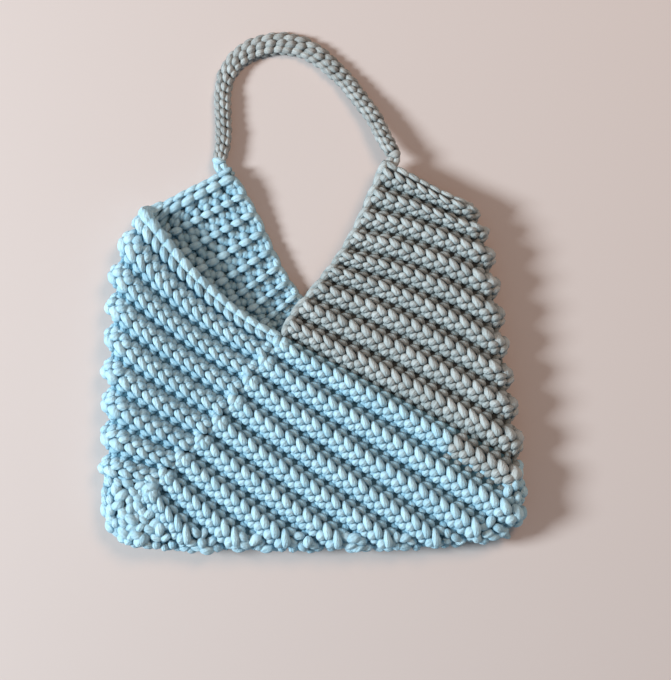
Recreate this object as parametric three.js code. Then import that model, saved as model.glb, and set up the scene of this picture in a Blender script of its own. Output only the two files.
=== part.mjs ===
// A shoulder bag of ribbed crochet, lying on its back. One long strip of ribbed cord fabric is folded
// into a pouch with two peaks, and a narrow crocheted strap joins the peaks. Millimetres, +Z up, with
// the origin on the surface under the middle of the bag. The strip is described by its ribs: rib 0 is
// the free end at the right peak, and the last rib is the rim of the left flap.
import * as THREE from "three";

// Driving sizes of the bag as it lies
const bagWidth = 353;
const bagHeight = 325;
const bagDepth = 34;
const wall = 7;
const ribRelief = 2;
const foldRadius = 15;
const frontSag = 4;
const rightPeakDrop = 8;
const leftPeakLift = 6;
const pressedShare = 0.4;

// Driving sizes of the strap
const strapRise = 103;
const strapWidth = 17;
const strapThickness = 9;
const neckWidth = 10;
const tieLength = 14;

// Working values
const seamGap = 0.36;
const stepsPerRib = 6;
const strapSides = 10;
const strapSteps = 52;

// Ribs at which the strip turns: the colour change, the lower left tip and the rim of the flap
const greyEnd = 9;
const tipRib = 19;
const rimRib = 29.5;

// Places in the plan are shares of bagWidth, from the left side, and of bagHeight, from the bottom
const frontEdge = [
  { rib: 0, across: 0.667, up: 1.0 },
  { rib: 2, across: 0.621, up: 0.884 },
  { rib: 4, across: 0.571, up: 0.778 },
  { rib: 6, across: 0.517, up: 0.698 },
  { rib: 8, across: 0.448, up: 0.605 },
  { rib: 9, across: 0.424, up: 0.556 },
  { rib: 12, across: 0.319, up: 0.408 },
  { rib: 14, across: 0.243, up: 0.305 },
  { rib: 16, across: 0.157, up: 0.217 },
  { rib: 18, across: 0.088, up: 0.129 },
  { rib: 19, across: 0.067, up: 0.072 },
];
const sideFold = [
  { rib: 0, across: 0.874, up: 0.891 },
  { rib: 2, across: 0.912, up: 0.788 },
  { rib: 4, across: 0.936, up: 0.641 },
  { rib: 6, across: 0.957, up: 0.486 },
  { rib: 8, across: 0.978, up: 0.326 },
  { rib: 9, across: 0.99, up: 0.233 },
  { rib: 10, across: 0.998, up: 0.129 },
  { rib: 11, across: 0.96, up: 0.044 },
  { rib: 12, across: 0.852, up: 0.018 },
  { rib: 14, across: 0.631, up: 0.003 },
  { rib: 16, across: 0.388, up: 0.003 },
  { rib: 18, across: 0.167, up: 0.003 },
  { rib: 19, across: 0.102, up: 0.006 },
  { rib: 19.5, across: 0.026, up: 0.036 },
  { rib: 20, across: 0.0, up: 0.109 },
  { rib: 22, across: 0.0, up: 0.258 },
  { rib: 24, across: 0.003, up: 0.429 },
  { rib: 26, across: 0.012, up: 0.594 },
  { rib: 28, across: 0.031, up: 0.757 },
  { rib: 29.5, across: 0.09, up: 0.886 },
];
const backRim = [
  { rib: 19, across: 0.538, up: 0.556 },
  { rib: 21, across: 0.481, up: 0.627 },
  { rib: 23, across: 0.433, up: 0.694 },
  { rib: 25, across: 0.393, up: 0.775 },
  { rib: 27, across: 0.353, up: 0.87 },
  { rib: 29.5, across: 0.293, up: 0.987 },
];
const backNotch = { across: 0.538, up: 0.556 };
const backCorner = { across: 0.936, up: 0.163 };

// How far ribs bow off a straight run at mid length, as shares of bagHeight
const greyBow = 0.022;
const rimBow = 0.044;

// The strap's run from the left peak to the right one: along is a share of the way between the
// peaks, rise of strapRise, lift of the peak's own height, and width of strapWidth
const strapRun = [
  { along: 0.0, rise: 0.2, lift: 0.75, width: 0.72 },
  { along: -0.005, rise: 0.42, lift: 0.4, width: 0.76 },
  { along: 0.0, rise: 0.62, lift: 0.1, width: 0.78 },
  { along: 0.035, rise: 0.78, lift: 0.0, width: 0.85 },
  { along: 0.1, rise: 0.89, lift: 0.0, width: 0.94 },
  { along: 0.207, rise: 0.975, lift: 0.0, width: 1.0 },
  { along: 0.354, rise: 1.0, lift: 0.0, width: 1.0 },
  { along: 0.494, rise: 0.955, lift: 0.0, width: 0.97 },
  { along: 0.616, rise: 0.84, lift: 0.0, width: 0.94 },
  { along: 0.738, rise: 0.68, lift: 0.08, width: 0.92 },
  { along: 0.811, rise: 0.557, lift: 0.25, width: 0.9 },
  { along: 0.915, rise: 0.344, lift: 0.55, width: 0.88 },
  { along: 0.982, rise: 0.16, lift: 0.82, width: 0.78 },
];

const greyCord = new THREE.MeshStandardMaterial({ color: 0x9ea3a6, roughness: 0.75, metalness: 0 });
const blueCord = new THREE.MeshStandardMaterial({ color: 0x9cc8dc, roughness: 0.75, metalness: 0 });
const strapCord = new THREE.MeshStandardMaterial({ color: 0x9b9fa2, roughness: 0.75, metalness: 0 });

// Heights of the fabric's middle: the back as it rests, half way round the fold, and the front
const backLevel = wall / 2 + pressedShare * ribRelief;
const foldRise = (bagDepth - backLevel - wall / 2 - ribRelief) / 2;
const foldLevel = backLevel + foldRise;

const place = (spot) => new THREE.Vector2(spot.across * bagWidth, spot.up * bagHeight);

// A smooth curve through a table's rows, read at any rib
function along(rows, rib) {
  let row = 0;
  while (row < rows.length - 2 && rib > rows[row + 1].rib) row += 1;
  const slope = (at) => {
    const before = rows[Math.max(at - 1, 0)];
    const after = rows[Math.min(at + 1, rows.length - 1)];
    return place(after).sub(place(before)).divideScalar(after.rib - before.rib);
  };
  const span = rows[row + 1].rib - rows[row].rib;
  const s = (rib - rows[row].rib) / span;
  const fromWeight = 1 + s * s * (2 * s - 3);
  const outWeight = s * (1 - s) * (1 - s) * span;
  const inWeight = s * s * (s - 1) * span;
  return place(rows[row]).multiplyScalar(fromWeight)
    .addScaledVector(slope(row), outWeight)
    .addScaledVector(place(rows[row + 1]), 1 - fromWeight)
    .addScaledVector(slope(row + 1), inWeight);
}

// The flap's ribs run back up the seam that the front panel's ribs came down
function edgeAt(rib) {
  if (rib <= tipRib) return along(frontEdge, rib);
  const back = (rib - tipRib) / (rimRib - tipRib);
  return along(frontEdge, tipRib - back * (tipRib - greyEnd));
}

function backAt(rib) {
  if (rib > tipRib) return along(backRim, rib);
  const share = rib <= greyEnd ? rib / greyEnd : (tipRib - rib) / (tipRib - greyEnd);
  return place(backNotch).lerp(place(backCorner), share);
}

// The side fold at the fabric's middle, inside the outline that the ribs make
function foldTurn(rib) {
  const reach = 0.2;
  const step = along(sideFold, Math.min(rib + reach, rimRib)).sub(along(sideFold, Math.max(rib - reach, 0)));
  return new THREE.Vector2(-step.y, step.x).normalize();
}
const foldAt = (rib) => along(sideFold, rib).addScaledVector(foldTurn(rib), -(wall + ribRelief) / 2);

// The whole fold as a line of short steps, carried on straight past both ends of the mouth
const foldLine = [];
const foldStep = 0.25;
const pastEnd = 80;
for (let rib = 0; rib <= rimRib; rib += foldStep) foldLine.push({ at: foldAt(rib), out: foldTurn(rib) });
for (const [end, next] of [[0, 1], [foldLine.length - 1, foldLine.length - 2]]) {
  const ahead = foldLine[end].at.clone().sub(foldLine[next].at).setLength(pastEnd);
  const extra = { at: foldLine[end].at.clone().add(ahead), out: foldLine[end].out };
  if (end === 0) foldLine.unshift(extra);
  else foldLine.push(extra);
}

// The nearest place on the fold line: how far it is, and which way is outwards there
function nearestFold(plan) {
  let best = { distance: Infinity, out: null };
  for (let i = 0; i + 1 < foldLine.length; i += 1) {
    const run = foldLine[i + 1].at.clone().sub(foldLine[i].at);
    const toPlan = plan.clone().sub(foldLine[i].at);
    const share = THREE.MathUtils.clamp(toPlan.dot(run) / run.lengthSq(), 0, 1);
    const distance = toPlan.addScaledVector(run, -share).length();
    if (distance < best.distance) {
      best = { distance, out: foldLine[i].out.clone().lerp(foldLine[i + 1].out, share).normalize() };
    }
  }
  return best;
}

// Where the fabric starts and stops settling: inwards from the fold, and up towards the peaks
const sagEnd = 0.28 * bagWidth;
const dropStart = 0.76 * bagHeight;
const liftStart = 0.8 * bagHeight;

// The middle of the fabric over a place in the plan, on the front (side 1) or the back (side -1)
function fabricAt(plan, side) {
  const { distance, out } = nearestFold(plan);
  const inward = Math.max(1 - distance / foldRadius, 0);
  const height = Math.sqrt(1 - inward * inward);
  const sag = frontSag * THREE.MathUtils.smoothstep(distance, foldRadius, sagEnd);
  const drop = rightPeakDrop * THREE.MathUtils.smoothstep(plan.y, dropStart, bagHeight);
  const lift = leftPeakLift * THREE.MathUtils.smoothstep(plan.y, liftStart, bagHeight);
  const settled = side > 0 ? -sag - drop : lift;
  const at = new THREE.Vector3(plan.x, plan.y, foldLevel + height * (side * foldRise + settled));
  const normal = new THREE.Vector3(out.x, out.y, 0).multiplyScalar(inward / foldRadius);
  normal.z = (side * height) / foldRise;
  return { at, normal: normal.normalize() };
}

// Where one rib line runs: from the front edge to the fold, round it, and on to the back edge
const foldTurns = [90, 66, 44, 22, 0];
const frontSpans = 3;
const backSpans = 2;
const leastSlant = 0.35;
const mostTurn = 0.55;
const hemSlant = 0.85;
function bowAt(rib) {
  if (rib < greyEnd) return greyBow * Math.sin((Math.PI * rib) / greyEnd);
  if (rib < tipRib) return 0;
  return -rimBow * ((rib - tipRib) / (rimRib - tipRib)) ** 3;
}

function runFrom(end, fold, turn, bow, spans) {
  const way = end.clone().sub(fold);
  const slant = Math.max(Math.abs(way.clone().normalize().dot(turn)), leastSlant);
  const turnReach = Math.min(foldRadius / slant, mostTurn * way.length());
  const shares = foldTurns.slice(0, -1).map((angle) =>
    ((1 - Math.cos(THREE.MathUtils.degToRad(angle))) * turnReach) / way.length());
  const firm = shares[0];
  for (let i = 1; i <= spans; i += 1) {
    shares.unshift(firm + ((1 - firm) * i) / spans);
  }
  const hem = seamGap / 2 / hemSlant / way.length();
  shares[0] -= hem;
  return shares.map((share) => {
    const plan = fold.clone().addScaledVector(way, share);
    plan.y += 4 * share * (1 - share) * bow * bagHeight;
    return plan;
  });
}

function ribLine(rib) {
  const fold = foldAt(rib);
  const turn = foldTurn(rib);
  const front = runFrom(edgeAt(rib), fold, turn, bowAt(rib), frontSpans);
  const back = runFrom(backAt(rib), fold, turn, 0, backSpans);
  return [
    ...front.map((plan) => fabricAt(plan, 1)),
    fabricAt(fold, 1),
    ...back.reverse().map((plan) => fabricAt(plan, -1)),
  ];
}

// Ribs are round and the valleys between them narrow
const ribWave = (rib) => ribRelief * (2 * Math.abs(Math.sin(Math.PI * rib)) - 1);

// One panel of the strip: a sheet of even thickness that waves with its ribs, pressed flat below
const narrowestRib = 0.045 * bagWidth;
function panelGeometry(fromRib, toRib) {
  const steps = Math.round((toRib - fromRib) * stepsPerRib);
  const hem = seamGap / 2 / narrowestRib;
  const outer = [];
  const inner = [];
  for (let i = 0; i <= steps; i += 1) {
    const even = THREE.MathUtils.lerp(fromRib, toRib, i / steps);
    const rib = THREE.MathUtils.clamp(even, fromRib + hem, toRib - hem);
    const lift = (spot, depth) => {
      const point = spot.at.clone().addScaledVector(spot.normal, depth + ribWave(rib));
      point.z = Math.max(point.z, 0);
      return point;
    };
    const line = ribLine(rib);
    outer.push(line.map((spot) => lift(spot, wall / 2)));
    inner.push(line.map((spot) => lift(spot, -wall / 2)));
  }
  return sheetGeometry(outer, inner);
}

// Closes two matching grids of points into one solid sheet
function sheetGeometry(outer, inner) {
  const rows = outer.length;
  const columns = outer[0].length;
  const points = [...outer.flat(), ...inner.flat()];
  const index = [];
  const at = (row, column, face) => face * rows * columns + row * columns + column;
  const quad = (a, b, c, d) => index.push(a, b, c, a, c, d);
  for (let r = 0; r + 1 < rows; r += 1) {
    for (let c = 0; c + 1 < columns; c += 1) {
      quad(at(r, c, 0), at(r, c + 1, 0), at(r + 1, c + 1, 0), at(r + 1, c, 0));
      quad(at(r, c, 1), at(r + 1, c, 1), at(r + 1, c + 1, 1), at(r, c + 1, 1));
    }
    const last = columns - 1;
    quad(at(r, 0, 0), at(r + 1, 0, 0), at(r + 1, 0, 1), at(r, 0, 1));
    quad(at(r, last, 0), at(r, last, 1), at(r + 1, last, 1), at(r + 1, last, 0));
  }
  for (let c = 0; c + 1 < columns; c += 1) {
    const last = rows - 1;
    quad(at(0, c, 0), at(0, c, 1), at(0, c + 1, 1), at(0, c + 1, 0));
    quad(at(last, c, 0), at(last, c + 1, 0), at(last, c + 1, 1), at(last, c, 1));
  }
  return solidGeometry(points, index);
}

// A closed mesh from points and triangles, turned so that its faces point out
function solidGeometry(points, index) {
  let volume = 0;
  for (let i = 0; i < index.length; i += 3) {
    const [a, b, c] = [points[index[i]], points[index[i + 1]], points[index[i + 2]]];
    volume += a.dot(b.clone().cross(c));
  }
  if (volume < 0) index.reverse();
  const geometry = new THREE.BufferGeometry();
  geometry.setAttribute("position", new THREE.Float32BufferAttribute(points.flatMap((p) => p.toArray()), 3));
  geometry.setIndex(index);
  geometry.computeVertexNormals();
  return geometry;
}

// Where the strap is sewn on: on a free end of the strip, beside a peak
function strapSeat(rib, corner, inner) {
  const side = rib > tipRib ? -1 : 1;
  const fold = foldAt(rib);
  const acrossPlan = fold.clone().sub(corner).normalize();
  const centre = corner.clone().addScaledVector(acrossPlan, neckWidth / 2);
  const across = new THREE.Vector3(acrossPlan.x, acrossPlan.y, 0);
  const { at, normal } = fabricAt(centre, side);
  const outward = centre.clone().sub(inner);
  const ahead = new THREE.Vector3(-across.y, across.x, 0);
  if (ahead.x * outward.x + ahead.y * outward.y < 0) ahead.negate();
  at.addScaledVector(normal, ribWave(rib)).addScaledVector(ahead, seamGap);
  return { at, across, ahead, up: normal };
}

const rightSeat = strapSeat(0, edgeAt(0), edgeAt(1));
const leftSeat = strapSeat(rimRib, backAt(rimRib), backAt(rimRib - 1));

// The strap's middle line and its width there
function strapPath() {
  const low = strapThickness / 2;
  const nodes = [leftSeat.at.clone(), leftSeat.at.clone().addScaledVector(leftSeat.ahead, tieLength / 2)];
  const widths = [neckWidth, neckWidth];
  for (const row of strapRun) {
    const seat = row.along < 0.5 ? leftSeat : rightSeat;
    const x = THREE.MathUtils.lerp(leftSeat.at.x, rightSeat.at.x, row.along);
    const y = bagHeight + row.rise * strapRise;
    nodes.push(new THREE.Vector3(x, y, low + row.lift * Math.max(seat.at.z - low, 0)));
    widths.push(row.width * strapWidth);
  }
  nodes.push(rightSeat.at.clone().addScaledVector(rightSeat.ahead, tieLength / 2), rightSeat.at.clone());
  widths.push(neckWidth, neckWidth);
  return { curve: new THREE.CatmullRomCurve3(nodes, false, "centripetal"), widths };
}

// One stretch of the strap, between two lengths along it, as a closed flattened tube
function strapGeometry(path, fromLength, toLength, steps) {
  const total = path.curve.getLength();
  const points = [];
  for (let i = 0; i <= steps; i += 1) {
    const reach = THREE.MathUtils.lerp(fromLength, toLength, i / steps) / total;
    const t = path.curve.getUtoTmapping(reach);
    const slot = Math.min(Math.floor(t * (path.widths.length - 1)), path.widths.length - 2);
    const share = t * (path.widths.length - 1) - slot;
    const width = THREE.MathUtils.lerp(path.widths[slot], path.widths[slot + 1], share);
    const thickness = THREE.MathUtils.lerp(wall, strapThickness, Math.min(width / strapWidth, 1));
    const centre = path.curve.getPoint(t);
    const ahead = path.curve.getTangent(t);
    let across = new THREE.Vector3(ahead.y, -ahead.x, 0).normalize();
    let up = across.clone().cross(ahead).normalize();
    const seated = (i === 0 && fromLength === 0) || (i === steps && toLength === total);
    if (seated) {
      const seat = i === 0 ? leftSeat : rightSeat;
      across = seat.across.clone().multiplyScalar(Math.sign(seat.across.dot(across)));
      up = seat.up.clone().multiplyScalar(Math.sign(seat.up.dot(up)));
    }
    for (let n = 0; n < strapSides; n += 1) {
      const angle = (2 * Math.PI * n) / strapSides;
      points.push(centre.clone()
        .addScaledVector(across, (Math.cos(angle) * width) / 2)
        .addScaledVector(up, (Math.sin(angle) * thickness) / 2));
    }
  }
  return ringsGeometry(points, steps + 1, strapSides);
}

// Closes a row of rings of points into one solid
function ringsGeometry(points, rings, sides) {
  const index = [];
  for (let r = 0; r + 1 < rings; r += 1) {
    for (let n = 0; n < sides; n += 1) {
      const [a, b] = [r * sides + n, r * sides + ((n + 1) % sides)];
      index.push(a, b, b + sides, a, b + sides, a + sides);
    }
  }
  const last = (rings - 1) * sides;
  for (let n = 1; n + 1 < sides; n += 1) {
    index.push(0, n + 1, n, last, last + n, last + n + 1);
  }
  return solidGeometry(points, index);
}

const bag = new THREE.Group();

function addPiece(name, geometry, material) {
  const mesh = new THREE.Mesh(geometry, material);
  mesh.name = name;
  bag.add(mesh);
}

addPiece("grey_panel", panelGeometry(0, greyEnd), greyCord);
addPiece("front_panel", panelGeometry(greyEnd, tipRib), blueCord);
addPiece("left_flap", panelGeometry(tipRib, rimRib), blueCord);

const path = strapPath();
const strapLength = path.curve.getLength();
const tieSteps = 3;
addPiece("left_strap_tie", strapGeometry(path, 0, tieLength, tieSteps), blueCord);
const strapStart = tieLength + seamGap;
addPiece("strap", strapGeometry(path, strapStart, strapLength - strapStart, strapSteps), strapCord);
addPiece("right_strap_tie", strapGeometry(path, strapLength - tieLength, strapLength, tieSteps), strapCord);

// The origin goes under the middle of everything that is built
const reach = new THREE.Box3().setFromObject(bag);
const middle = reach.getCenter(new THREE.Vector3());
bag.position.set(-middle.x, -middle.y, -reach.min.z);

const part = new THREE.Group();
part.name = "crochet_bag";
part.add(bag);

export default part;
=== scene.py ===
import math

import bmesh
import bpy
import numpy as np
from mathutils import Matrix, Vector


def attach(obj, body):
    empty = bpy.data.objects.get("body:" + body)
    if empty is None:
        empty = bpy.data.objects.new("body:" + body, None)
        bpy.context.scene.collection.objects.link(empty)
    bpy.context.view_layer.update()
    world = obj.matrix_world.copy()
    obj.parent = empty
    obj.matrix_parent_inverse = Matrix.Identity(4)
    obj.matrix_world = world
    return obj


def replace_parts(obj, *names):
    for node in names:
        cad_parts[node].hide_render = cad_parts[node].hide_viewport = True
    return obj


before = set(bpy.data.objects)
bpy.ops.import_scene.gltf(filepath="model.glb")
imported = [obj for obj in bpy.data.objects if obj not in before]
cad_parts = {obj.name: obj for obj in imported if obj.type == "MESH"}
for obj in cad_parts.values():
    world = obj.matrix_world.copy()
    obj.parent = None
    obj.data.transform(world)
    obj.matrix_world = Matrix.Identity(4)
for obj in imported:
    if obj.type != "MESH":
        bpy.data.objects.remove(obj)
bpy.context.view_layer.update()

# Crochet shoulder bag lying on its back, dressed stitch by stitch over the plain panels. Metres.

dice = np.random.default_rng(11)

bag = {
    "width": 0.353,            # between the sides
    "height": 0.325,           # bottom fold to right peak
    "depth": 0.034,            # over the ribs
    "wall": 0.007,
    "relief": 0.002,           # half height of a rib wave
    "foldRadius": 0.015,
    "sag": 0.004,              # the front dips in the middle
    "sagReach": 0.28,          # share of the width from the fold to where it is deepest
    "rightPeakDrop": 0.008,
    "dropFrom": 0.76,          # shares of the height where the peaks begin to leave the level
    "leftPeakLift": 0.006,
    "liftFrom": 0.8,
    "pressed": 0.4,            # share of the relief left under the back
    "greyEnd": 9.0,            # rib where the yarn changes colour
    "tip": 19.0,               # rib that runs to the lower left tip
    "rim": 29.5,               # rib at the flap's free rim
    "greyBow": 0.022,
    "rimBow": 0.044,
}

# ribs from the right peak round to the flap's rim: rib, share across, share up
frontEdge = [(0, .667, 1.0), (2, .621, .884), (4, .571, .778), (6, .517, .698), (8, .448, .605),
             (9, .424, .556), (12, .319, .408), (14, .243, .305), (16, .157, .217), (18, .088, .129),
             (19, .067, .072)]
sideFold = [(0, .874, .891), (2, .912, .788), (4, .936, .641), (6, .957, .486), (8, .978, .326),
            (9, .99, .233), (10, .998, .129), (11, .96, .044), (12, .852, .018), (14, .631, .003),
            (16, .388, .003), (18, .167, .003), (19, .102, .006), (19.5, .026, .036), (20, 0, .109),
            (22, 0, .258), (24, .003, .429), (26, .012, .594), (28, .031, .757), (29.5, .09, .886)]
backRim = [(19, .538, .556), (21, .481, .627), (23, .433, .694), (25, .393, .775), (27, .353, .87),
           (29.5, .293, .987)]
backNotch = (.538, .556)
backCorner = (.936, .163)

backLevel = bag["wall"] / 2 + bag["pressed"] * bag["relief"]
foldRise = (bag["depth"] - backLevel - bag["wall"] / 2 - bag["relief"]) / 2
foldLevel = backLevel + foldRise
bagSize = np.array([bag["width"], bag["height"]])


def alongTable(rows, ribs):
    # a smooth curve through the rows, read at many ribs at once
    rows = np.array(rows, float)
    knots, spots = rows[:, 0], rows[:, 1:] * bagSize
    slopes = np.empty_like(spots)
    slopes[1:-1] = (spots[2:] - spots[:-2]) / (knots[2:] - knots[:-2])[:, None]
    slopes[0] = (spots[1] - spots[0]) / (knots[1] - knots[0])
    slopes[-1] = (spots[-1] - spots[-2]) / (knots[-1] - knots[-2])
    at = np.clip(np.searchsorted(knots, ribs, "right") - 1, 0, len(knots) - 2)
    span = (knots[at + 1] - knots[at])[:, None]
    s = (np.asarray(ribs) - knots[at])[:, None] / span
    fromWeight = 1 + s * s * (2 * s - 3)
    return (spots[at] * fromWeight + slopes[at] * s * (1 - s) ** 2 * span
            + spots[at + 1] * (1 - fromWeight) + slopes[at + 1] * s * s * (s - 1) * span)


def edgeAt(ribs):
    # the flap's ribs climb the seam that the front panel's ribs came down
    ribs = np.asarray(ribs, float)
    back = (ribs - bag["tip"]) / (bag["rim"] - bag["tip"])
    mirrored = bag["tip"] - back * (bag["tip"] - bag["greyEnd"])
    return alongTable(frontEdge, np.where(ribs <= bag["tip"], ribs, mirrored))


def backAt(ribs):
    ribs = np.asarray(ribs, float)
    share = np.where(ribs <= bag["greyEnd"], ribs / bag["greyEnd"],
                     (bag["tip"] - ribs) / (bag["tip"] - bag["greyEnd"]))[:, None]
    seam = np.array(backNotch) * bagSize * (1 - share) + np.array(backCorner) * bagSize * share
    return np.where(ribs[:, None] > bag["tip"], alongTable(backRim, ribs), seam)


def foldTurn(ribs):
    reach = 0.2
    ribs = np.asarray(ribs, float)
    step = (alongTable(sideFold, np.minimum(ribs + reach, bag["rim"]))
            - alongTable(sideFold, np.maximum(ribs - reach, 0)))
    out = np.stack([-step[:, 1], step[:, 0]], 1)
    return out / np.linalg.norm(out, axis=1)[:, None]


def foldAt(ribs):
    return alongTable(sideFold, ribs) - foldTurn(ribs) * (bag["wall"] + bag["relief"]) / 2


def makeFoldLine():
    spacing, pastEnd = 0.25, 0.08
    ribs = np.arange(0, bag["rim"] + 0.01, spacing)
    spots, outs = foldAt(ribs), foldTurn(ribs)
    ends = []
    for end, inner in ((0, 1), (-1, -2)):
        ahead = spots[end] - spots[inner]
        ends.append(spots[end] + ahead / np.linalg.norm(ahead) * pastEnd)
    return (np.vstack([ends[0], spots, ends[1]]), np.vstack([outs[:1], outs, outs[-1:]]))


foldSpots, foldOuts = makeFoldLine()


def nearestFold(plan):
    a, b = foldSpots[:-1], foldSpots[1:]
    run = b - a
    rel = plan[:, None, :] - a[None]
    share = np.clip((rel * run).sum(2) / (run * run).sum(1), 0, 1)
    gap = np.linalg.norm(rel - share[..., None] * run, axis=2)
    best = gap.argmin(1)
    rows = np.arange(len(plan))
    s = share[rows, best][:, None]
    out = foldOuts[best] * (1 - s) + foldOuts[best + 1] * s
    return gap[rows, best], out / np.linalg.norm(out, axis=1)[:, None]


def ease(x, low, high):
    s = np.clip((x - low) / (high - low), 0, 1)
    return s * s * (3 - 2 * s)


def fabricAt(plan, side):
    # middle of the fabric over places in the plan, with its outward normal; side is 1 or -1 each
    gap, out = nearestFold(plan)
    inward = np.maximum(1 - gap / bag["foldRadius"], 0)
    height = np.sqrt(1 - inward ** 2)
    sag = bag["sag"] * ease(gap, bag["foldRadius"], bag["sagReach"] * bag["width"])
    drop = bag["rightPeakDrop"] * ease(plan[:, 1], bag["dropFrom"] * bag["height"], bag["height"])
    lift = bag["leftPeakLift"] * ease(plan[:, 1], bag["liftFrom"] * bag["height"], bag["height"])
    settled = np.where(side > 0, -sag - drop, lift)
    z = foldLevel + height * (side * foldRise + settled)
    normal = np.column_stack([out * (inward / bag["foldRadius"])[:, None], side * height / foldRise])
    return np.column_stack([plan, z]), normal / np.linalg.norm(normal, axis=1)[:, None]


def bowAt(rib):
    if rib < bag["greyEnd"]:
        return bag["greyBow"] * math.sin(math.pi * max(rib, 0) / bag["greyEnd"])
    if rib < bag["tip"]:
        return 0.0
    return -bag["rimBow"] * ((rib - bag["tip"]) / (bag["rim"] - bag["tip"])) ** 3


strip = {"perRib": 8, "step": 0.0016, "past": 0.016, "raw": 90}
stitch = {"pitch": 0.0104, "rib": 0.023, "jitter": 0.00022, "swell": 0.07}


def makeStrip():
    # the whole strip as a grid of places and normals: rows are ribs, columns are lengths along them
    ribs = np.linspace(0, bag["rim"], int(bag["rim"] * strip["perRib"]) + 1)
    easeIn = np.sin(np.linspace(0, math.pi / 2, strip["raw"]))[:, None]    # closer together at the fold
    edges, folds, backs = edgeAt(ribs), foldAt(ribs), backAt(ribs)
    runs, fronts, totals = [], [], []
    for n, rib in enumerate(ribs):
        front = edges[n] + (folds[n] - edges[n]) * easeIn
        front[:, 1] += 4 * easeIn[:, 0] * (1 - easeIn[:, 0]) * bowAt(rib) * bag["height"]
        back = (backs[n] + (folds[n] - backs[n]) * easeIn)[::-1][1:]
        side = np.r_[np.ones(len(front)), -np.ones(len(back))]
        spots, outs = fabricAt(np.vstack([front, back]), side)
        length = np.r_[0, np.cumsum(np.linalg.norm(np.diff(spots, axis=0), axis=1))]
        runs.append((spots, outs, length))
        fronts.append(length[len(front) - 1])
        totals.append(length[-1])
    columns = np.arange(-strip["past"], max(totals) + strip["past"], strip["step"])
    places = np.empty((len(ribs), len(columns), 3))
    normals = np.empty_like(places)
    for n, (spots, outs, length) in enumerate(runs):
        for axis in range(3):
            places[n, :, axis] = np.interp(columns, length, spots[:, axis])
            normals[n, :, axis] = np.interp(columns, length, outs[:, axis])
        for end, far, near in ((columns < 0, 0, 1), (columns > length[-1], -1, -2)):   # straight on past
            slope = (spots[far] - spots[near]) / (length[far] - length[near])
            places[n, end] = spots[far] + (columns[end] - length[far])[:, None] * slope
    return places, normals, ribs, np.array(fronts), np.array(totals)


stripPlaces, stripNormals, stripRibs, stripFronts, stripTotals = makeStrip()


def stitchesIn(ribs):
    return np.round(np.interp(ribs, stripRibs, stripTotals) / stitch["pitch"])


def onStrip(ribs, along, height, counts):
    # places at a rib, at a stitch along it and at a height off the fabric's middle. Stitches are even
    # over the front, and on the back they fit the row's own count
    ribs, along = np.broadcast_arrays(np.asarray(ribs, float), np.asarray(along, float))
    front = np.interp(ribs, stripRibs, stripFronts)
    total = np.interp(ribs, stripRibs, stripTotals)
    toFold = front / stitch["pitch"]
    pastFold = front + (along - toFold) * (total - front) / (counts - toFold)
    reach = np.where(along < toFold, along * stitch["pitch"], pastFold)
    row = ribs * strip["perRib"]
    r0 = np.clip(np.floor(row).astype(int), 0, stripPlaces.shape[0] - 2)
    fr = (row - r0)[..., None]
    column = (reach + strip["past"]) / strip["step"]
    c0 = np.clip(np.floor(column).astype(int), 0, stripPlaces.shape[1] - 2)
    fc = (column - c0)[..., None]

    def blend(grid):
        low = grid[r0, c0] * (1 - fc) + grid[r0, c0 + 1] * fc
        high = grid[r0 + 1, c0] * (1 - fc) + grid[r0 + 1, c0 + 1] * fc
        return low * (1 - fr) + high * fr

    normal = blend(stripNormals)
    normal /= np.linalg.norm(normal, axis=-1)[..., None]
    return blend(stripPlaces) + normal * np.asarray(height)[..., None]


# Beads: one low round shape, stretched into each strand of a stitch

def unitBead(sides, rings):
    bm = bmesh.new()
    bmesh.ops.create_uvsphere(bm, u_segments=sides, v_segments=rings, radius=1)
    bmesh.ops.rotate(bm, verts=bm.verts, cent=(0, 0, 0), matrix=Matrix.Rotation(math.pi / 2, 3, "Y"))
    bm.verts.index_update()
    verts = np.array([v.co for v in bm.verts])
    faces = [[v.index for v in f.verts] for f in bm.faces]
    bm.free()
    return verts, faces


def beadUv(verts):
    # share along the strand, and share around it
    p, q, r = verts.T
    return np.column_stack([(p + 1) / 2, np.arctan2(r, q) / (2 * math.pi) + 0.5])


def strand(start, end, lift, width, thick, arch=0.0, taper=0.0, tone=0.0, bow=0.0, blunt=0.0,
           sides=8, rings=7, unit=stitch):
    # a bead laid from start to end, both (stitches along, ribs across); lengths in metres. A blunt one
    # has fuller ends
    verts, faces = unitBead(sides, rings)
    verts[:, 1:] *= np.sqrt(1 + blunt * verts[:, :1] ** 2)
    p, q, r = verts.T
    t = (p + 1) / 2
    run = (np.array(end) - start) * [unit["pitch"], unit["rib"]]
    perp = np.array([-run[1], run[0]]) / np.linalg.norm(run)
    aside = q * (1 + taper * p) * width / 2 + bow * (1 - p * p)
    x = start[0] + (end[0] - start[0]) * t + perp[0] * aside / unit["pitch"]
    y = start[1] + (end[1] - start[1]) * t + perp[1] * aside / unit["rib"]
    h = lift[0] + (lift[1] - lift[0]) * t + arch * (1 - p * p) + r * (1 + taper * p / 2) * thick / 2
    return {"x": x, "y": y, "h": h, "faces": faces, "uv": beadUv(verts), "tone": tone}


def joinParts(parts):
    # several strands as one pattern
    faces, base = [], 0
    for part in parts:
        faces += [[v + base for v in f] for f in part["faces"]]
        base += len(part["x"])
    whole = {key: np.concatenate([part[key] for part in parts]) for key in ("x", "y", "h", "uv")}
    whole["faces"] = faces
    whole["strand"] = np.concatenate([np.full(len(part["x"]), n) for n, part in enumerate(parts)])
    whole["tone"] = np.array([part["tone"] for part in parts])
    return whole


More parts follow.
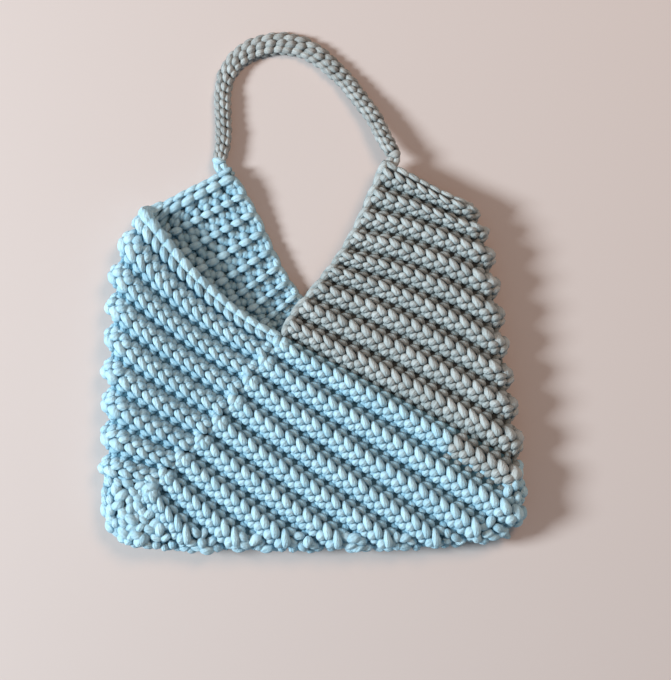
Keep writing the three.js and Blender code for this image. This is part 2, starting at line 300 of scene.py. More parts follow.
# the outer face: a slanting strand on the ridge, two short ones below it, and two sunk between the ribs. The
# lower and sunk strands have darker tones, painted shade
outerStitch = joinParts([
    strand((-.08, .20), (1.06, .54), (.0038, .0052), .0064, .0076, arch=.0014, taper=.20, tone=.14,
           blunt=.8, rings=9),
    strand((.28, .46), (.58, .78), (.0042, .0032), .0078, .0076, arch=.0010, taper=-.08, tone=.12, blunt=.5),
    strand((.82, .60), (1.06, .92), (.0028, -.0006), .0070, .0068, arch=.0006, tone=-.06, blunt=.4),
    strand((.00, .20), (1.10, .21), (.0008, .0006), .0062, .0060, arch=.0008, tone=-.30, bow=-.0016),
    strand((.16, .93), (.86, .99), (-.0012, -.0014), .0066, .0058, tone=-.70, sides=7, rings=5),
])
# the inner face, and the half rib beside the rim on either face. The inner strands' tones sit lower than the
# outer face's, painted shade inside the bag, and tucked strands are darker still, painted shade
innerStitch = joinParts([
    strand((-.14, .62), (1.02, .40), (.0048, .0054), .0088, .0080, arch=.0014, taper=.12, tone=.02, sides=7),
    strand((.16, .78), (.92, .86), (.0018, .0014), .0122, .0080, arch=.0006, tone=-.28, sides=7, rings=5),
    strand((-.30, .99), (.44, 1.07), (.0002, .0002), .0122, .0078, arch=.0004, tone=-.42, sides=7,
           rings=5),
    strand((.24, .18), (.98, .24), (.0010, .0014), .0120, .0078, arch=.0006, tone=-.24, sides=6, rings=5),
])
rimRow = joinParts([
    strand((-.04, -.04), (1.04, .22), (.0026, .0032), .0064, .0070, arch=.0010, taper=.2, tone=.02,
           blunt=.6),
    strand((.30, .14), (1.26, .27), (.0012, .0016), .0072, .0064, arch=.0006, tone=-.12, blunt=.6),
])
rimInside = joinParts([
    strand((-.20, .10), (1.08, -.08), (.0046, .0050), .0104, .0084, arch=.0012, taper=.12, tone=.08,
           sides=7),
    strand((.24, -.32), (.98, -.26), (.0020, .0022), .0120, .0078, arch=.0006, tone=-.20, sides=6,
           rings=5),
    strand((.16, .22), (.92, .26), (.0014, .0012), .0084, .0070, arch=.0004, tone=-.24, sides=7, rings=5),
])
# the raised seam, the rim's braid and the loops at the ends of the rows. Tucked strands have darker tones,
# painted shade
seamBump = joinParts([
    strand((-.34, .10), (.26, .62), (.0036, .0036), .0080, .0076, arch=.0022, taper=-.1, tone=.14),
    strand((.22, .02), (.78, .52), (.0034, .0034), .0082, .0076, arch=.0020, taper=.1, tone=.10),
    strand((-.62, .52), (-.20, .86), (.0024, .0018), .0070, .0064, arch=.0008, tone=.02, rings=6),
    strand((-.02, .66), (.30, .98), (.0022, .0012), .0072, .0066, arch=.0008, tone=-.04, rings=6),
    strand((-.66, .02), (-.40, .34), (.0020, .0020), .0068, .0062, arch=.0008, tone=.0, rings=6),
])
rimLink = joinParts([
    strand((-.10, -.02), (1.22, .07), (.0024, .0030), .0080, .0066, arch=.0008, taper=.12, tone=.16,
           blunt=.4),
    strand((-.14, .08), (1.28, .10), (-.0004, -.0002), .0062, .0056, tone=.0, rings=6),
    strand((-.14, .02), (1.28, .04), (-.0034, -.0032), .0064, .0058, arch=-.0004, taper=.12, tone=.05,
           rings=6),
])
edgeLoop = joinParts([
    strand((.10, -.10), (-.06, .56), (.0024, .0026), .0072, .0066, arch=.0010, taper=.12, tone=.10, rings=8),
    strand((-.02, .44), (.12, 1.10), (.0024, .0020), .0070, .0064, arch=.0008, taper=-.1, tone=.02, rings=8),
    strand((-.08, -.12), (-.08, 1.10), (-.0002, -.0002), .0060, .0056, tone=-.22, rings=6),
    strand((.10, -.10), (-.04, .56), (-.0028, -.0030), .0070, .0062, arch=-.0006, tone=.04, rings=6),
    strand((-.02, .44), (.12, 1.10), (-.0028, -.0026), .0070, .0062, arch=-.0006, tone=.0, rings=6),
])


def mirrored(pattern):
    # the same strands for the other end of the ribs
    return {**pattern, "x": -pattern["x"]}


def strandToneAndShade(pattern, count):
    # each strand's tone: a random spread around its given tone, and the given tone is painted shade: proud
    # strands are paler, tucked ones darker
    tones = pattern["tone"][None] + 0.5 + 0.5 * (dice.random((count, len(pattern["tone"]))) - 0.5)
    return tones[:, pattern["strand"]].reshape(-1)


def repeatPattern(pattern, ribs, along, face=1, ribShift=0.0, size=1.0):
    # copies of a pattern at many places on the strip: vertices, faces, uv and a tone for each strand
    count = len(ribs)
    shift = dice.normal(0, 1, (count, 3)) * stitch["jitter"]
    swell = size + dice.normal(0, 1, count) * stitch["swell"] / 2
    k = ribs[:, None] + ribShift + pattern["y"][None] + shift[:, :1] / stitch["rib"]
    s = along[:, None] + pattern["x"][None] + shift[:, 1:2] / stitch["pitch"]
    h = face * (pattern["h"][None] * swell[:, None] + shift[:, 2:])
    counts = stitchesIn(ribs + 0.5)[:, None]
    verts = onStrip(k, s, h, counts).reshape(-1, 3)
    tones = strandToneAndShade(pattern, count)
    uvs = np.tile(pattern["uv"], (count, 1))
    return verts, pattern["faces"], uvs, tones, len(pattern["x"]), count


crowd = {"widest": 1.3, "ribs": (18, 20), "tip": (0.040, 0.056), "under": (0.066, 0.018),
         "spacing": 0.0060, "lift": 0.0026, "liftJitter": 0.0009, "size": (0.0060, 0.0041, 0.0043),
         "sizeJitter": 0.12, "darkest": 0.35, "tones": 0.5, "tries": 14000}


def ribWidths(ribs, along):
    # how wide each stitch's rib is there, as a share of an even one
    counts = stitchesIn(ribs + 0.5)
    near = onStrip(ribs + 0.1, along + 0.5, np.zeros(len(ribs)), counts)
    far = onStrip(ribs + 0.9, along + 0.5, np.zeros(len(ribs)), counts)
    return np.linalg.norm(far - near, axis=1) / 0.8 / stitch["rib"]


def nearTip(ribs, along):
    # the lower left corner, where the ribs meet in a knot of loose strands
    spots = onStrip(ribs + 0.5, along + 0.5, np.zeros(len(ribs)), stitchesIn(ribs + 0.5))
    inCorner = (spots[:, 0] < crowd["tip"][0]) & (spots[:, 1] < crowd["tip"][1])
    underCorner = (spots[:, 0] < crowd["under"][0]) & (spots[:, 1] < crowd["under"][1])
    return (ribs >= crowd["ribs"][0]) & (ribs <= crowd["ribs"][1]) & (inCorner | underCorner)


def scatterStrands(ribs, along):
    # where ribs fan out round a corner, loose round strands fill the fabric instead of stretched stitches
    pick = dice.integers(0, len(ribs), crowd["tries"])
    k, s = ribs[pick] + dice.random(crowd["tries"]), along[pick] + dice.random(crowd["tries"])
    counts = stitchesIn(ribs[pick] + 0.5)
    flat = onStrip(k, s, np.zeros(len(k)), counts)
    chosen = []
    for n, spot in enumerate(flat):
        if all(np.linalg.norm(spot - flat[m]) > crowd["spacing"] for m in chosen):
            chosen.append(n)
    chosen = np.array(chosen)
    k, s, counts, base = k[chosen], s[chosen], counts[chosen], flat[chosen]
    normal = onStrip(k, s, np.ones(len(k)), counts) - base
    towards = onStrip(k, s + 0.2, np.zeros(len(k)), counts) - base
    towards /= np.linalg.norm(towards, axis=1)[:, None]
    beside = np.cross(normal, towards)
    turn = dice.random(len(k))[:, None] * math.pi
    ahead = towards * np.cos(turn) + beside * np.sin(turn)
    side = np.cross(normal, ahead)
    verts, faces = unitBead(8, 7)
    size = np.array(crowd["size"]) * (1 + crowd["sizeJitter"] * dice.normal(0, 1, (len(k), 1)))
    lift = crowd["lift"] + crowd["liftJitter"] * dice.normal(0, 1, (len(k), 1))
    places = (base + normal * lift)[:, None] + (verts[None, :, :1] * (ahead * size[:, :1])[:, None]
                                                + verts[None, :, 1:2] * (side * size[:, 1:2])[:, None]
                                                + verts[None, :, 2:] * (normal * size[:, 2:])[:, None])
    tones = np.repeat(crowd["darkest"] + crowd["tones"] * dice.random(len(k)), len(verts))
    return places.reshape(-1, 3), faces, np.tile(beadUv(verts), (len(k), 1)), tones, len(verts), len(k)


frameShift = np.array([-0.175485, -0.218066, 0.0])
floorGap = 0.0003


def facing(verts, faces):
    # above zero where a closed shape's faces turn outwards
    middle = verts.mean(0)
    total = 0.0
    for f in faces:
        a, b, c = verts[f[0]] - middle, verts[f[1]] - middle, verts[f[2]] - middle
        total += np.dot(a, np.cross(b, c))
    return total


def makePiece(name, mesh, material):
    mesh.materials.append(material)
    piece = bpy.data.objects.new(name, mesh)
    bpy.context.scene.collection.objects.link(piece)
    return piece


def joinTo(piece):
    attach(piece, "root")


def addRepeats(name, groups, material):
    # one mesh from several sets of copies
    allVerts = np.vstack([g[0] for g in groups]) + frameShift
    allVerts[:, 2] = np.maximum(allVerts[:, 2], floorGap)
    loopVerts, loopTotals = [], []
    base = 0
    for verts, faces, uvs, tones, size, count in groups:
        pattern = np.concatenate([np.array(f) for f in faces])
        if facing(verts[:size], faces) < 0:
            pattern = np.concatenate([np.array(f[::-1]) for f in faces])
        offsets = base + np.arange(count) * size
        loopVerts.append((pattern[None] + offsets[:, None]).ravel())
        loopTotals.append(np.tile([len(f) for f in faces], count))
        base += size * count
    loopVerts = np.concatenate(loopVerts).astype(np.int32)
    loopTotals = np.concatenate(loopTotals).astype(np.int32)
    mesh = bpy.data.meshes.new(name)
    mesh.vertices.add(len(allVerts))
    mesh.vertices.foreach_set("co", allVerts.astype(np.float32).ravel())
    mesh.loops.add(len(loopVerts))
    mesh.loops.foreach_set("vertex_index", loopVerts)
    mesh.polygons.add(len(loopTotals))
    mesh.polygons.foreach_set("loop_start", np.r_[0, np.cumsum(loopTotals)[:-1]].astype(np.int32))
    mesh.update(calc_edges=True)
    mesh.validate()
    mesh.shade_smooth()
    uvs = np.vstack([g[2] for g in groups])
    layer = mesh.uv_layers.new(name="UVMap")
    layer.data.foreach_set("uv", uvs[loopVerts].astype(np.float32).ravel())
    tone = mesh.attributes.new("tone", "FLOAT", "POINT")
    tone.data.foreach_set("value", np.concatenate([g[3] for g in groups]).astype(np.float32))
    piece = makePiece(name, mesh, material)
    joinTo(piece)
    return piece


# Finishes: one plied-yarn effect with painted shade, placed in each yarn's own material

yarn = {"twist": 0.45, "toneSpread": 57.0, "drift": 1.7, "fuzz": 1300.0, "patches": 330.0,
        "plies": 6, "plyTurn": 0.22, "hairFrom": 0.56, "hairTo": 0.74, "hair": 0.55}


def makeYarnGroup():
    # colour and relief of a soft strand: fibres wind slowly along it; its tucked ends are darker, painted
    # shade, and the strand's tone attribute adds painted shade to its random tone
    group = bpy.data.node_groups.new("softYarn", "ShaderNodeTree")
    face = group.interface
    for name, kind, value in (("Shade", "NodeSocketColor", (.2, .2, .2, 1)),
                              ("Light", "NodeSocketColor", (.5, .5, .5, 1)),
                              ("Wear", "NodeSocketColor", (.6, .6, .6, 1)),
                              ("Fibres", "NodeSocketFloat", 4.0)):
        socket = face.new_socket(name, in_out="INPUT", socket_type=kind)
        socket.default_value = value
    face.new_socket("Color", in_out="OUTPUT", socket_type="NodeSocketColor")
    face.new_socket("Height", in_out="OUTPUT", socket_type="NodeSocketFloat")
    face.new_socket("Roughness", in_out="OUTPUT", socket_type="NodeSocketFloat")
    nodes, links = group.nodes, group.links
    inward, outward = nodes.new("NodeGroupInput"), nodes.new("NodeGroupOutput")

    def maths(kind, *values, clamp=False):
        node = nodes.new("ShaderNodeMath")
        node.operation = kind
        node.use_clamp = clamp
        for n, value in enumerate(values):
            if isinstance(value, (int, float)):
                node.inputs[n].default_value = value
            else:
                links.new(value, node.inputs[n])
        return node.outputs[0]

    uv = nodes.new("ShaderNodeUVMap")
    uv.uv_map = "UVMap"
    split = nodes.new("ShaderNodeSeparateXYZ")
    links.new(uv.outputs[0], split.inputs[0])
    along, around = split.outputs[0], split.outputs[1]
    tone = nodes.new("ShaderNodeAttribute")
    tone.attribute_name = "tone"
    turned = maths("MULTIPLY", maths("MULTIPLY_ADD", along, yarn["twist"], around), 2 * math.pi)
    ring = nodes.new("ShaderNodeCombineXYZ")
    links.new(maths("MULTIPLY", maths("COSINE", turned), inward.outputs["Fibres"]), ring.inputs[0])
    links.new(maths("MULTIPLY", maths("SINE", turned), inward.outputs["Fibres"]), ring.inputs[1])
    links.new(maths("MULTIPLY_ADD", tone.outputs["Fac"], yarn["toneSpread"],
                    maths("MULTIPLY", along, yarn["drift"])), ring.inputs[2])
    fibre = nodes.new("ShaderNodeTexNoise")
    fibre.inputs["Scale"].default_value = 1.0
    fibre.inputs["Detail"].default_value = 4.0
    fibre.inputs["Roughness"].default_value = 0.62
    links.new(ring.outputs[0], fibre.inputs["Vector"])
    place = nodes.new("ShaderNodeTexCoord")

    def noiseInPlace(scale, detail):
        node = nodes.new("ShaderNodeTexNoise")
        node.inputs["Scale"].default_value = scale
        node.inputs["Detail"].default_value = detail
        links.new(place.outputs["Object"], node.inputs["Vector"])
        return node

    fuzz = noiseInPlace(yarn["fuzz"], 3.0)
    patch = noiseInPlace(yarn["patches"], 2.0)
    # painted shade: each strand is paler in its middle and darker towards its tucked ends
    middle = maths("SINE", maths("MULTIPLY", along, math.pi))
    ply = maths("COSINE", maths("MULTIPLY", maths("MULTIPLY_ADD", along, yarn["plyTurn"], around),
                                yarn["plies"] * 2 * math.pi))
    # the share between Shade and Light: tone with painted shade, fibres, patches and plies
    body = maths("MULTIPLY_ADD", tone.outputs["Fac"], 0.7, -0.52)
    body = maths("MULTIPLY_ADD", fibre.outputs["Fac"], 0.8, body)
    body = maths("MULTIPLY_ADD", middle, 0.42, body)
    body = maths("MULTIPLY_ADD", patch.outputs["Fac"], 0.22, body)
    body = maths("MULTIPLY_ADD", ply, 0.05, body)
    mix = nodes.new("ShaderNodeMix")
    mix.data_type = "RGBA"
    links.new(maths("ADD", body, -0.06, clamp=True), mix.inputs["Factor"])
    links.new(inward.outputs["Shade"], mix.inputs["A"])
    links.new(inward.outputs["Light"], mix.inputs["B"])
    worn = nodes.new("ShaderNodeMix")
    worn.data_type = "RGBA"
    hair = nodes.new("ShaderNodeMapRange")
    hair.inputs["From Min"].default_value = yarn["hairFrom"]
    hair.inputs["From Max"].default_value = yarn["hairTo"]
    hair.inputs["To Max"].default_value = yarn["hair"]
    links.new(fuzz.outputs["Fac"], hair.inputs["Value"])
    links.new(hair.outputs["Result"], worn.inputs["Factor"])
    links.new(mix.outputs["Result"], worn.inputs["A"])
    links.new(inward.outputs["Wear"], worn.inputs["B"])
    links.new(worn.outputs["Result"], outward.inputs["Color"])
    relief = maths("MULTIPLY_ADD", fuzz.outputs["Fac"], 0.35, fibre.outputs["Fac"])
    relief = maths("MULTIPLY_ADD", patch.outputs["Fac"], 0.9, relief)
    links.new(maths("MULTIPLY_ADD", ply, 0.16, relief), outward.inputs["Height"])
    links.new(maths("MULTIPLY_ADD", fibre.outputs["Fac"], -0.12, 0.92), outward.inputs["Roughness"])
    return group


softYarn = makeYarnGroup()


def fromScreen(*levels):
    # a colour as it looks on screen, 0 to 255, as the linear one a shader takes
    return tuple((v / 255 / 12.92 if v < 10 else ((v / 255 + 0.055) / 1.055) ** 2.4) for v in levels) + (1,)


def yarnMaterial(name, looks):
    material = bpy.data.materials.new(name)
    material.use_nodes = True
    nodes, links = material.node_tree.nodes, material.node_tree.links
    surface = nodes["Principled BSDF"]
    effect = nodes.new("ShaderNodeGroup")
    effect.node_tree = softYarn
    for key in ("Shade", "Light", "Wear"):
        effect.inputs[key].default_value = fromScreen(*looks[key])
    effect.inputs["Fibres"].default_value = looks["fibres"]
    links.new(effect.outputs["Color"], surface.inputs["Base Color"])
    links.new(effect.outputs["Roughness"], surface.inputs["Roughness"])
    bump = nodes.new("ShaderNodeBump")
    bump.inputs["Strength"].default_value = looks["bump"]
    bump.inputs["Distance"].default_value = 0.0011
    links.new(effect.outputs["Height"], bump.inputs["Height"])
    links.new(bump.outputs["Normal"], surface.inputs["Normal"])
    surface.inputs["Specular IOR Level"].default_value = 0.25
    surface.inputs["Sheen Weight"].default_value = looks["sheen"]
    surface.inputs["Sheen Roughness"].default_value = 0.45
    surface.inputs["Sheen Tint"].default_value = fromScreen(*looks["Wear"])
    return material


blueYarn = yarnMaterial("blueYarn", {"Shade": (126, 174, 198), "Light": (190, 223, 237),
                                     "Wear": (211, 232, 241), "fibres": 3.2, "bump": 0.9, "sheen": 0.18})
greyYarn = yarnMaterial("greyYarn", {"Shade": (110, 121, 123), "Light": (189, 197, 199),
                                     "Wear": (210, 214, 215), "fibres": 3.2, "bump": 0.9, "sheen": 0.18})
strapYarn = yarnMaterial("strapYarn", {"Shade": (92, 93, 91), "Light": (184, 190, 191),
                                       "Wear": (214, 216, 218), "fibres": 3.0, "bump": 0.6, "sheen": 0.18})
# the core sheets' yarn is much darker than the stitches: painted shade in the deep gaps between them
blueCoreShade = yarnMaterial("blueYarnCoreShade", {"Shade": (64, 104, 123), "Light": (110, 153, 172),
                                         "Wear": (110, 152, 170), "fibres": 9.0, "bump": 0.7, "sheen": 0.05})
greyCoreShade = yarnMaterial("greyYarnCoreShade", {"Shade": (58, 62, 62), "Light": (100, 105, 107),
                                         "Wear": (112, 117, 119), "fibres": 9.0, "bump": 0.7, "sheen": 0.05})
print("finishes made")

# Panels: a core sheet, coloured as painted shade, with stitches laid over both faces

core = {"thickness": 0.0012, "wave": 0.8, "perRib": 6, "columns": 110, "uvColumns": 4}


def addCore(name, fromRib, toRib, material):
    rows = int((toRib - fromRib) * core["perRib"])
    bm = bmesh.new()
    layer = bm.loops.layers.uv.new("UVMap")
    bmesh.ops.create_grid(bm, x_segments=core["columns"], y_segments=rows, size=0.5)
    flat = np.array([v.co for v in bm.verts])
    ribs = fromRib + (flat[:, 1] + 0.5) * (toRib - fromRib)
    counts = np.interp(ribs, stripRibs, stripTotals) / stitch["pitch"]
    along = (flat[:, 0] + 0.5) * counts
    lift = -core["wave"] * bag["relief"] * np.cos(2 * np.pi * ribs)
    spots = onStrip(ribs, along, lift, counts) + frameShift
    for vert, spot in zip(bm.verts, spots):
        vert.co = spot
    for face in bm.faces:
        for loop in face.loops:
            row = flat[loop.vert.index]
            loop[layer].uv = ((row[0] + 0.5) * core["columns"] / core["uvColumns"],
                               (row[1] + 0.5) * (toRib - fromRib))
    bmesh.ops.recalc_face_normals(bm, faces=bm.faces)
    mesh = bpy.data.meshes.new(name)
    bm.to_mesh(mesh)
    bm.free()
    mesh.shade_smooth()
    sheet = makePiece(name, mesh, material)
    wallMaker = sheet.modifiers.new("wall", "SOLIDIFY")
    wallMaker.thickness = core["thickness"]
    wallMaker.offset = 0
    applyModifiers(sheet)
    settle(sheet, floorGap * 2)
    joinTo(sheet)
    return sheet


def applyModifiers(piece):
    # keeps the finished shape in the mesh itself
    graph = bpy.context.evaluated_depsgraph_get()
    finished = bpy.data.meshes.new_from_object(piece.evaluated_get(graph))
    old = piece.data
    piece.modifiers.clear()
    piece.data = finished
    bpy.data.meshes.remove(old)


def settle(piece, lowest):
    # nothing reaches below the surface that the bag lies on
    spots = np.zeros(len(piece.data.vertices) * 3, np.float32)
    piece.data.vertices.foreach_get("co", spots)
    spots = spots.reshape(-1, 3)
    spots[:, 2] = np.maximum(spots[:, 2], lowest)
    piece.data.vertices.foreach_set("co", spots.ravel())
    piece.data.update()


def stitchGrid(fromRib, toRib, first=0, last=None):
    # the rib and the place along it of every stitch between two ribs
    whole = range(fromRib, toRib)
    rows = [np.arange(first, stitchesIn(rib + 0.5) if last is None else last) for rib in whole]
    ribs = np.concatenate([np.full(len(row), rib) for rib, row in zip(whole, rows)])
    return ribs.astype(float), np.concatenate(rows).astype(float)


def addPanel(name, node, fromRib, toRib, material, coreMaterial, edges=(), skip=None,
             coreEnd=None, linings=()):
    # stitches on both faces round a core. The flap's core ends past its last whole rib, and its lining
    # takes the place of that rib's inner stitches
    ribs, along = stitchGrid(fromRib, toRib)
    wide = (ribWidths(ribs, along) > crowd["widest"]) | nearTip(ribs, along)
    keep = ~wide if skip is None else ~wide & ~skip(ribs, along)
    groups = [repeatPattern(outerStitch, ribs[keep], along[keep])]
    if wide.any():
        groups.append(scatterStrands(ribs[wide], along[wide]))
    outer = addRepeats(name + "Stitches", groups + list(edges), material)
    whole = ribs < toRib - (coreEnd is not None)
    insides = [repeatPattern(innerStitch, ribs[whole], along[whole], face=-1, ribShift=0.5)] + list(linings)
    inner = addRepeats(name + "Inside", insides, material)
    sheet = addCore(name + "Core", fromRib, coreEnd or toRib, coreMaterial)
    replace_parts(outer, node)


change = {"start": 16, "end": 22}      # stitches of the first blue rib that are still grey
rim = {"lastRib": 29.0, "counted": 29.2, "braid": 29.35, "core": 29.4}


def changed(ribs, along):
    return (ribs == bag["greyEnd"]) & (along >= change["start"]) & (along < change["end"])


def frontEdgeLoops(fromRib, toRib, pattern):
    ribs = np.arange(fromRib, toRib).astype(float)
    return repeatPattern(pattern, ribs, np.zeros(len(ribs)))


def backEdgeLoops(fromRib, toRib, pattern):
    ribs = np.arange(fromRib, toRib).astype(float)
    return repeatPattern(mirrored(pattern), ribs, stitchesIn(ribs + 0.5))


def rimLinks(rib):
    places = np.arange(stitchesIn(rib) - 1).astype(float)
    return repeatPattern(rimLink, np.full(len(places), rib), places)


def rowAlongRim(pattern, face):
    # the flap's last half rib, between its whole ribs and the rim
    places = np.arange(stitchesIn(rim["counted"]) - 1).astype(float)
    return repeatPattern(pattern, np.full(len(places), rim["lastRib"]), places, face=face)


changeRibs, changeAlong = stitchGrid(9, 10, change["start"], change["end"])
addPanel("grey", "grey_panel", 0, 9, greyYarn, greyCoreShade,
         edges=[repeatPattern(outerStitch, changeRibs, changeAlong), frontEdgeLoops(0, 9, edgeLoop),
                backEdgeLoops(0, 9, edgeLoop), rimLinks(0.0)])
print("grey panel stitched")
addPanel("front", "front_panel", 9, 19, blueYarn, blueCoreShade,
         edges=[frontEdgeLoops(9, 18, seamBump), backEdgeLoops(9, 19, edgeLoop)], skip=changed)
print("front panel stitched")
addPanel("flap", "left_flap", 19, 29, blueYarn, blueCoreShade,
         edges=[rimLinks(rim["braid"]), rowAlongRim(rimRow, 1), backEdgeLoops(19, 29, edgeLoop)],
         coreEnd=rim["core"], linings=[rowAlongRim(rimInside, -1)])
print("flap stitched")

# Strap: a narrow braid between the peaks

strap = {"rise": 0.103, "width": 0.017, "thickness": 0.009, "neck": 0.010, "tie": 0.014, "gap": 0.00036,
         "pitch": 0.0090, "jitter": 0.00036, "narrowing": 0.6, "thinning": 0.25, "pathPoints": 400}
# share of the way between the peaks, share of the rise, share of the peak's height, share of the width
strapRun = [(0, .2, .75, .72), (-.005, .42, .4, .74), (0, .62, .1, .76), (.035, .78, 0, .84),
            (.1, .89, 0, .92), (.207, .975, 0, .98), (.354, 1, 0, 1), (.494, .955, 0, .95),
            (.616, .84, 0, .86), (.738, .68, .08, .80), (.811, .557, .25, .77), (.915, .344, .55, .75),
            (.982, .16, .82, .72)]


def strapSeat(rib, corner, inner):
    side = -1.0 if rib > bag["tip"] else 1.0
    toFold = foldAt([rib])[0] - corner
    across = toFold / np.linalg.norm(toFold)
    centre = corner + across * strap["neck"] / 2
    spot, normal = fabricAt(centre[None], np.array([side]))
    ahead = np.array([-across[1], across[0], 0])
    if ahead[:2] @ (centre - inner) < 0:
        ahead = -ahead
    wave = bag["relief"] * (2 * abs(math.sin(math.pi * rib)) - 1)
    return spot[0] + normal[0] * wave + ahead * strap["gap"], ahead


rightSeat, rightAhead = strapSeat(0.0, edgeAt([0])[0], edgeAt([1])[0])
leftSeat, leftAhead = strapSeat(bag["rim"], backAt([bag["rim"]])[0], backAt([bag["rim"] - 1])[0])


def makeStrapPath():
    low = strap["thickness"] / 2
    nodes = [leftSeat, leftSeat + leftAhead * strap["tie"] / 2]
    widths = [strap["neck"]] * 2
    for share, rise, lift, width in strapRun:
        seat = leftSeat if share < 0.5 else rightSeat
        x = leftSeat[0] + (rightSeat[0] - leftSeat[0]) * share
        nodes.append(np.array([x, bag["height"] + rise * strap["rise"], low + lift * max(seat[2] - low, 0)]))
        widths.append(width * strap["width"])
    nodes += [rightSeat + rightAhead * strap["tie"] / 2, rightSeat]
    widths += [strap["neck"]] * 2
    nodes = np.array(nodes)
    padded = np.vstack([2 * nodes[0] - nodes[1], nodes, 2 * nodes[-1] - nodes[-2]])
    spots, spotWidths = [], []
    steps = 24
    for n in range(len(nodes) - 1):
        a, b, c, d = padded[n:n + 4]
        g0, g1, g2 = (max(np.linalg.norm(q - p), 1e-6) ** 0.5 for p, q in ((a, b), (b, c), (c, d)))
        t1 = ((b - a) / g0 - (c - a) / (g0 + g1) + (c - b) / g1) * g1
        t2 = ((c - b) / g1 - (d - b) / (g1 + g2) + (d - c) / g2) * g1
        for i in range(steps + (n == len(nodes) - 2)):
            s = i / steps
            spots.append(b + t1 * s + (-3 * b + 3 * c - 2 * t1 - t2) * s * s
                         + (2 * b - 2 * c + t1 + t2) * s ** 3)
            spotWidths.append(widths[n] + (widths[n + 1] - widths[n]) * s)
    spots = np.array(spots)
    length = np.r_[0, np.cumsum(np.linalg.norm(np.diff(spots, axis=0), axis=1))]
    even = np.linspace(0, length[-1], strap["pathPoints"])
    spots = np.column_stack([np.interp(even, length, spots[:, n]) for n in range(3)])
    ahead = np.gradient(spots, axis=0)
    ahead /= np.linalg.norm(ahead, axis=1)[:, None]
    across = np.column_stack([ahead[:, 1], -ahead[:, 0], np.zeros(len(ahead))])
    across /= np.linalg.norm(across, axis=1)[:, None]
    return spots, across, np.cross(across, ahead), np.interp(even, length, spotWidths), length[-1]


pathSpots, pathAcross, pathUp, pathWidths, strapLength = makeStrapPath()


def onStrap(along, across, height):
    # along in metres, across as a share of the half width to the outside, height off the middle
    row = np.clip(np.asarray(along) / strapLength, 0, 1) * (len(pathSpots) - 1)
    r0 = np.minimum(row.astype(int), len(pathSpots) - 2)
    f = (row - r0)[..., None]
    spots = pathSpots[r0] * (1 - f) + pathSpots[r0 + 1] * f
    side = pathAcross[r0] * (1 - f) + pathAcross[r0 + 1] * f
    up = pathUp[r0] * (1 - f) + pathUp[r0 + 1] * f
    half = (pathWidths[r0] * (1 - f[..., 0]) + pathWidths[r0 + 1] * f[..., 0]) / 2
    return spots + side * (np.asarray(across) * half)[..., None] + up * np.asarray(height)[..., None]


strandUnit = {"pitch": 0.0090, "rib": 0.0085}


def strapStrand(start, end, lift, width, thick, **more):
    # start and end as (links along, share across)
    return strand(start, end, (lift, lift), width, thick, unit=strandUnit, **more)


# tucked strands of the strap have darker tones, painted shade
strapLink = joinParts([
    strapStrand((-.26, .84), (1.02, .46), .0012, .0068, .0066, arch=.0012, taper=.16, tone=.10, rings=8),
    strapStrand((.06, .34), (1.20, -.16), .0028, .0066, .0062, arch=.0012, taper=.20, tone=.06, rings=8),
    strapStrand((-.18, -.26), (1.02, -.80), .0012, .0066, .0062, arch=.0010, taper=-.10, tone=-.04, rings=8),
    strapStrand((.34, -.84), (1.40, -.86), -.0016, .0054, .0056, tone=-.14, rings=6),
    strapStrand((.34, .86), (1.40, .88), -.0016, .0054, .0056, tone=-.14, rings=6),
    strapStrand((-.10, .46), (1.05, .30), -.0026, .0072, .0054, arch=-.0006, sides=7, rings=6),
    strapStrand((-.10, -.30), (1.05, -.46), -.0026, .0072, .0054, arch=-.0006, sides=7, rings=6),
])
tieLoop = joinParts([
    strapStrand((-.30, .62), (1.30, .42), .0010, .0104, .0066, arch=.0008, tone=.12, rings=9),
    strapStrand((-.30, -.58), (1.30, -.40), .0008, .0104, .0066, arch=.0008, tone=.06, rings=9),
    strapStrand((-.30, .05), (1.30, .0), -.0018, .0110, .0060, tone=-.1, rings=8),
    strapStrand((1.02, 1.15), (1.12, -1.15), .0030, .0062, .0056, arch=.0014, tone=.16, rings=9),
    strapStrand((1.02, 1.05), (1.12, -1.05), -.0030, .0062, .0050, arch=-.0006, tone=.0, rings=8),
])


def widthAlong(along):
    return np.interp(along, np.linspace(0, strapLength, len(pathWidths)), pathWidths)


def repeatOnStrap(pattern, starts, pitches):
    # copies of a pattern at many places along the strap, as repeatPattern gives them
    count = len(starts)
    shift = dice.normal(0, 1, (count, 3)) * strap["jitter"]
    along = starts[:, None] + pattern["x"][None] * pitches[:, None] + shift[:, :1]
    across = pattern["y"][None] + shift[:, 1:2] / strandUnit["rib"]
    thin = widthAlong(along) / strap["width"]
    height = pattern["h"][None] * (1 - strap["thinning"] + strap["thinning"] * thin) + shift[:, 2:]
    verts = onStrap(along, across, height).reshape(-1, 3)
    tones = strandToneAndShade(pattern, count)
    return verts, pattern["faces"], np.tile(pattern["uv"], (count, 1)), tones, len(pattern["x"]), count


def strapPlaces(fromLength, toLength):
    # links are closer together where the strap is narrow
    starts, pitches = [], []
    at = fromLength
    while at < toLength:
        pitch = strap["pitch"] * (widthAlong(at) / strap["width"]) ** strap["narrowing"]
        starts.append(at)
        pitches.append(pitch)
        at += pitch
    return np.array(starts), np.array(pitches)


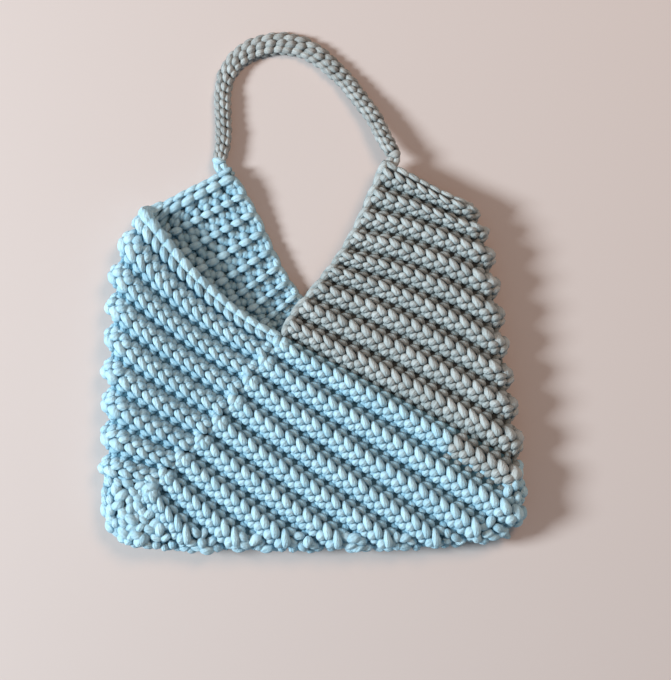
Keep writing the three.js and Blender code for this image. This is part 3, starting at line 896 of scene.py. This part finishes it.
def addTube(name, fromLength, toLength, material):
    # the strap's hidden middle, so that no light passes between its strands; its dark colour is painted
    # shade
    steps, sides, share, uvRepeats = 160, 10, 0.62, 30
    bm = bmesh.new()
    layer = bm.loops.layers.uv.new("UVMap")
    bmesh.ops.create_grid(bm, x_segments=steps, y_segments=sides, size=0.5)
    flat = np.array([v.co for v in bm.verts]) + 0.5
    along = fromLength + (toLength - fromLength) * flat[:, 0]
    turn = flat[:, 1] * 2 * math.pi
    spots = onStrap(along, np.cos(turn) * share, np.sin(turn) * share * strap["thickness"] / 2) + frameShift
    for face in bm.faces:
        for loop in face.loops:
            loop[layer].uv = (flat[loop.vert.index][0] * uvRepeats, flat[loop.vert.index][1])
    for vert, spot in zip(bm.verts, spots):
        vert.co = spot
    bmesh.ops.remove_doubles(bm, verts=bm.verts, dist=1e-6)
    bmesh.ops.holes_fill(bm, edges=bm.edges, sides=sides)
    bmesh.ops.recalc_face_normals(bm, faces=bm.faces)
    mesh = bpy.data.meshes.new(name)
    bm.to_mesh(mesh)
    bm.free()
    mesh.shade_smooth()
    tube = makePiece(name, mesh, material)
    settle(tube, floorGap * 2)
    joinTo(tube)


def addTie(name, node, pattern, at, material):
    tie = repeatOnStrap(pattern, np.array([at]), np.array([strap["pitch"]]))
    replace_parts(addRepeats(name, [tie], material), node)


tie = strap["tie"]
linkStarts, linkPitches = strapPlaces(tie * 0.7, strapLength - tie * 1.1)
links = repeatOnStrap(strapLink, linkStarts, linkPitches)
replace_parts(addRepeats("strapLinks", [links], strapYarn), "strap")
addTube("strapCore", tie * 0.8, strapLength - tie * 0.8, greyCoreShade)
addTie("leftTieLoop", "left_strap_tie", tieLoop, 0.0, blueYarn)
addTie("rightTieLoop", "right_strap_tie", mirrored(tieLoop), strapLength, strapYarn)
print("strap made")

# Floor, camera and light

floorLooks = {"colour": (201, 189, 186), "size": 6.0, "roughness": 0.7, "shine": 0.2}
bm = bmesh.new()
bmesh.ops.create_grid(bm, x_segments=1, y_segments=1, size=floorLooks["size"] / 2)
floorMesh = bpy.data.meshes.new("floor")
bm.to_mesh(floorMesh)
bm.free()
floorMaterial = bpy.data.materials.new("paleFloor")
floorMaterial.use_nodes = True
floorSurface = floorMaterial.node_tree.nodes["Principled BSDF"]
floorSurface.inputs["Base Color"].default_value = fromScreen(*floorLooks["colour"])
floorSurface.inputs["Roughness"].default_value = floorLooks["roughness"]
floorSurface.inputs["Specular IOR Level"].default_value = floorLooks["shine"]
makePiece("floor", floorMesh, floorMaterial)

camera = bpy.data.objects.new("camera", bpy.data.cameras.new("camera"))
camera.location = (0.0183, -0.0417, 1.30)
camera.data.lens = 80.9
camera.data.sensor_width = 36
bpy.context.scene.collection.objects.link(camera)
bpy.context.scene.camera = camera


def addLight(name, spot, size, power, colour):
    # a round lamp that looks at the middle of the bag
    lamp = bpy.data.lights.new(name, "AREA")
    lamp.shape = "DISK"
    lamp.size = size
    lamp.energy = power
    lamp.color = colour
    light = bpy.data.objects.new(name, lamp)
    light.location = spot
    light.rotation_euler = (-Vector(spot)).to_track_quat("-Z", "Y").to_euler()
    bpy.context.scene.collection.objects.link(light)


addLight("keyLight", (-2.60, -0.08, 1.69), size=0.9, power=143, colour=(0.86, 0.96, 1.0))
addLight("fillLight", (1.1, 1.3, 2.6), size=1.2, power=36, colour=(1.0, 0.615, 0.385))
world = bpy.data.worlds.new("room")
world.use_nodes = True
world.node_tree.nodes["Background"].inputs["Color"].default_value = (0.68, 0.88, 1.0, 1)
world.node_tree.nodes["Background"].inputs["Strength"].default_value = 0.235
bpy.context.scene.world = world
bpy.context.scene.view_settings.view_transform = "Standard"
print("stage set")
